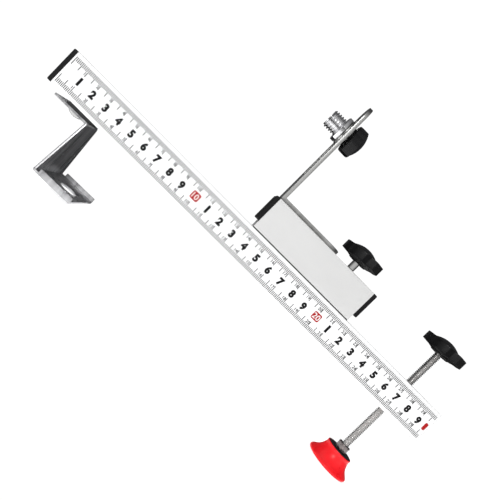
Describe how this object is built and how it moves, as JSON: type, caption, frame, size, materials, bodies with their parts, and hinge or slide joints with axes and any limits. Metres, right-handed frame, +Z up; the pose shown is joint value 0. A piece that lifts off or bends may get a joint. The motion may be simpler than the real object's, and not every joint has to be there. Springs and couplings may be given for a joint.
{
  "type": "tile cutter",
  "caption": "Scaled guide rail with a hook and a screw-down suction cup; a locking slider carries a bracket with a threaded adapter that holds an angle grinder for cutting tiles.",
  "frame": {"origin": "centre of the footprint, on the plane of the suction cup rim", "axes": "+X along the rail from the hook end to the clamp end, +Z up towards the bracket, scale on the -Y side"},
  "size_m": [0.303, 0.0434, 0.1704],
  "materials": {
    "rail_paint": "white powder coat",
    "block_paint": "light grey powder coat, satin",
    "scale_print": "white vinyl tape with printed scale",
    "black_plastic": "black moulded plastic, fine matt grain",
    "knob_plastic": "black moulded plastic, semi-gloss",
    "hook_steel": "brushed stainless sheet",
    "bracket_steel": "brushed steel bar",
    "screw_steel": "zinc-plated steel",
    "dark_steel": "dull plated steel",
    "brass": "turned brass",
    "adapter_aluminium": "bright turned aluminium",
    "red_rubber": "glossy red rubber",
    "nylon": "natural nylon"
  },
  "bodies": {
    "frame": {"rail": "rail_paint", "rail_end_cap": "black_plastic", "scale_tape": "scale_print", "clamp_slot_nuts": "screw_steel", "hook_plate": "hook_steel", "hook_spacer_pad": "black_plastic", "hook_screw": "screw_steel", "hook_slot_nut": "screw_steel"},
    "carriage": {"slider_block": "block_paint", "slider_cap_left": "black_plastic", "slider_cap_right": "black_plastic", "glide_strips": "black_plastic", "angle_bracket": "bracket_steel", "bracket_screws": "screw_steel", "bracket_nut_strip": "screw_steel", "lock_insert": "brass"},
    "lock_foot": {"lock_pad": "nylon"},
    "lock_screw": {"lock_stud": "screw_steel", "lock_knob": "knob_plastic"},
    "clamp_foot": {"suction_cup": "red_rubber", "cup_core": "dark_steel"},
    "clamp_screw": {"clamp_rod": "screw_steel", "clamp_knob": "knob_plastic", "cup_nut": "dark_steel", "cup_disc": "black_plastic"},
    "adapter_carrier": {"adapter_washer": "adapter_aluminium"},
    "adapter": {"threaded_adapter": "adapter_aluminium"},
    "knob_carrier": {"knob_washer": "screw_steel"},
    "adapter_screw": {"adapter_bolt": "screw_steel", "adapter_knob": "knob_plastic"}
  },
  "joints": [
    {"name": "carriage_slide", "type": "slide", "parent": "frame", "child": "carriage", "axis": [1, 0, 0], "range_m": [-0.136, 0.038]},
    {"name": "lock_lift", "type": "slide", "parent": "carriage", "child": "lock_foot", "axis": [0, 0, 1], "range_m": [0, 0.0024]},
    {"name": "lock_turn", "type": "hinge", "parent": "lock_foot", "child": "lock_screw", "pos_m": [0.0496, 0, 0.1016], "axis": [0, 0, 1], "range_deg": [0, 1080]},
    {"name": "clamp_lift", "type": "slide", "parent": "frame", "child": "clamp_foot", "axis": [0, 0, 1], "range_m": [-0.024, 0.032]},
    {"name": "clamp_turn", "type": "hinge", "parent": "clamp_foot", "child": "clamp_screw", "pos_m": [0.1279, 0, 0.0979], "axis": [0, 0, 1], "range_deg": [-10800, 14400]},
    {"name": "adapter_height", "type": "slide", "parent": "carriage", "child": "adapter_carrier", "axis": [0, 0, 1], "range_m": [-0.031, 0.009]},
    {"name": "adapter_tilt", "type": "hinge", "parent": "adapter_carrier", "child": "adapter", "pos_m": [-0.0125, 0, 0.1502], "axis": [1, 0, 0], "continuous": true},
    {"name": "knob_draw", "type": "slide", "parent": "adapter_carrier", "child": "knob_carrier", "axis": [1, 0, 0], "range_m": [0, 0.002]},
    {"name": "knob_turn", "type": "hinge", "parent": "knob_carrier", "child": "adapter_screw", "pos_m": [-0.0086, 0, 0.1502], "axis": [1, 0, 0], "range_deg": [0, 720]}
  ],
  "couplings": [
    {"joint": "lock_turn", "follows": "lock_lift", "rad_per_m": 7854},
    {"joint": "clamp_turn", "follows": "clamp_lift", "rad_per_m": 5236},
    {"joint": "knob_turn", "follows": "knob_draw", "rad_per_m": 6283.2}
  ]
}
